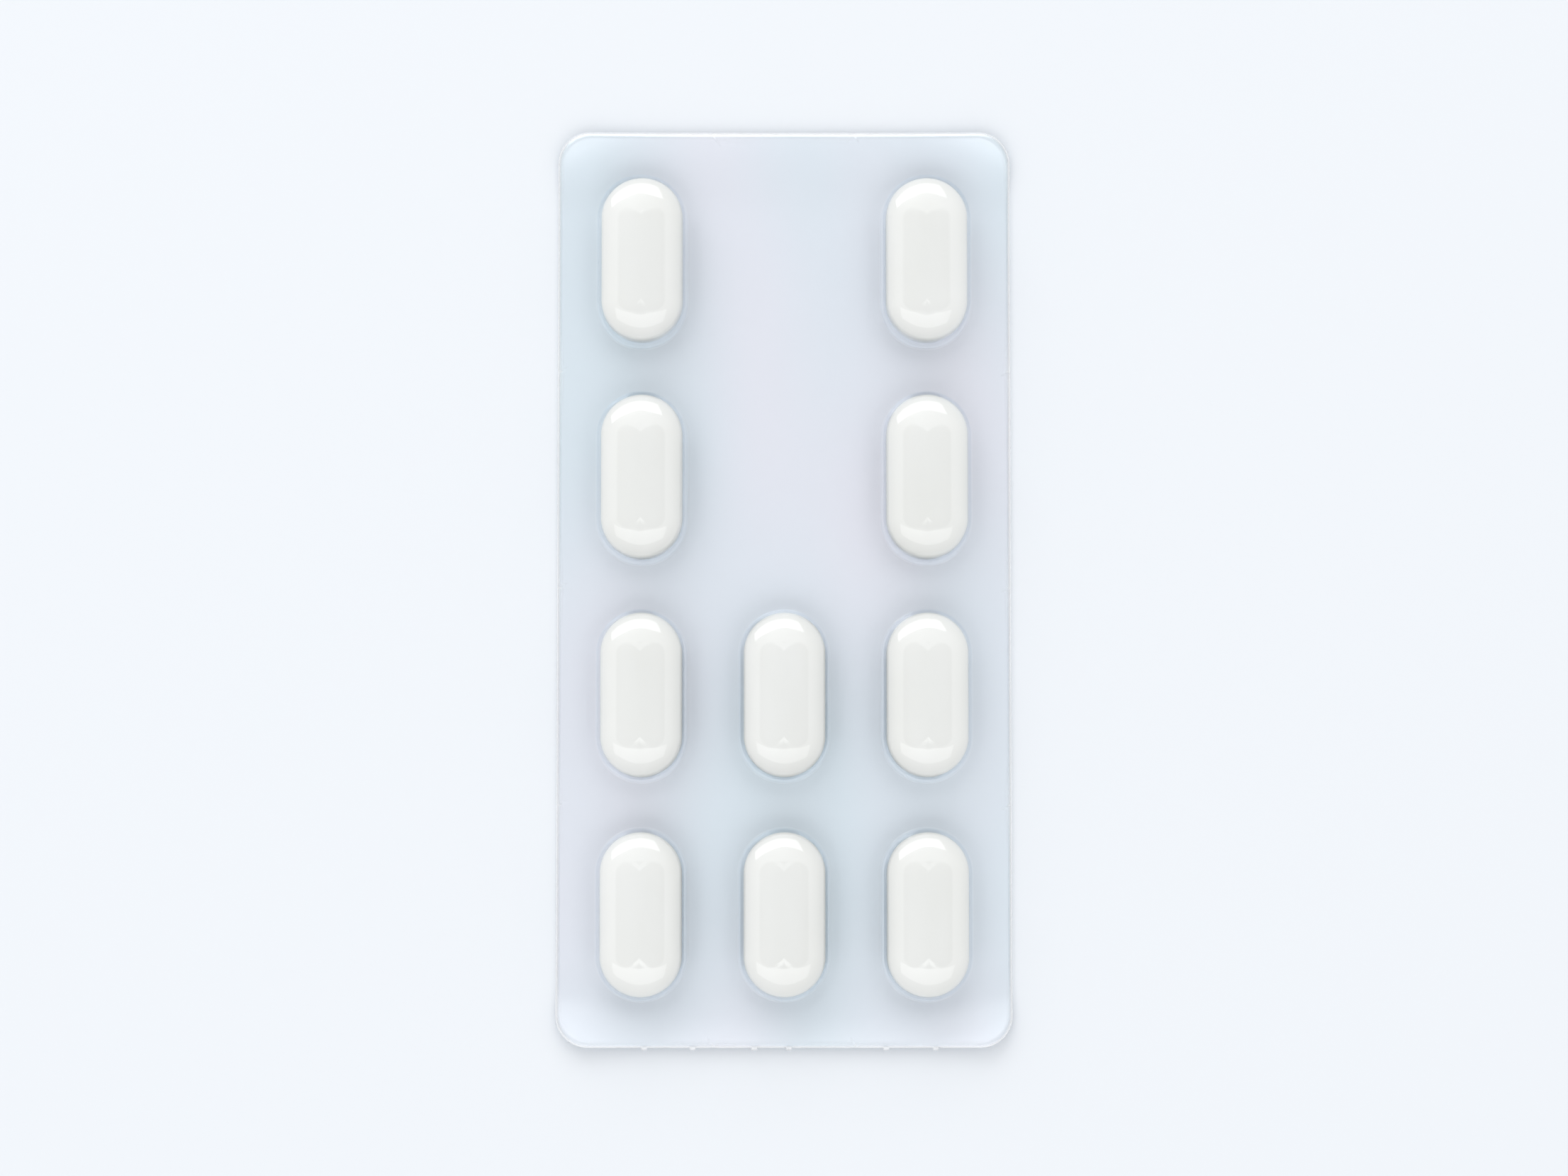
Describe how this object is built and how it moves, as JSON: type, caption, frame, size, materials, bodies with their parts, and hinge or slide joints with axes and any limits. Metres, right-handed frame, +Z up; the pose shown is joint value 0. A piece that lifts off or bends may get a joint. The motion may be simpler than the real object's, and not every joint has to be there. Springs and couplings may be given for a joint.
{
  "type": "pill blister pack",
  "caption": "Flat push-through blister pack of white oblong caplets: clear formed film sealed to a satin foil sheet, lying foil side down.",
  "frame": {"origin": "under the middle of the pack, on the foil's outer face", "axes": "+Z up out of the film, through the pockets' roofs; +Y along the pack towards row 1; +X across the pack"},
  "size_m": [0.046, 0.0932, 0.0062],
  "materials": {
    "clear_film": "gloss",
    "satin_foil": "satin",
    "white_coating": "satin"
  },
  "bodies": {
    "root": {"formed_film": "clear_film", "lidding_foil": "satin_foil", "caplet_row1_left": "white_coating", "caplet_row1_right": "white_coating", "caplet_row2_left": "white_coating", "caplet_row2_right": "white_coating", "caplet_row3_left": "white_coating", "caplet_row3_centre": "white_coating", "caplet_row3_right": "white_coating", "caplet_row4_left": "white_coating", "caplet_row4_centre": "white_coating", "caplet_row4_right": "white_coating"}
  },
  "joints": []
}
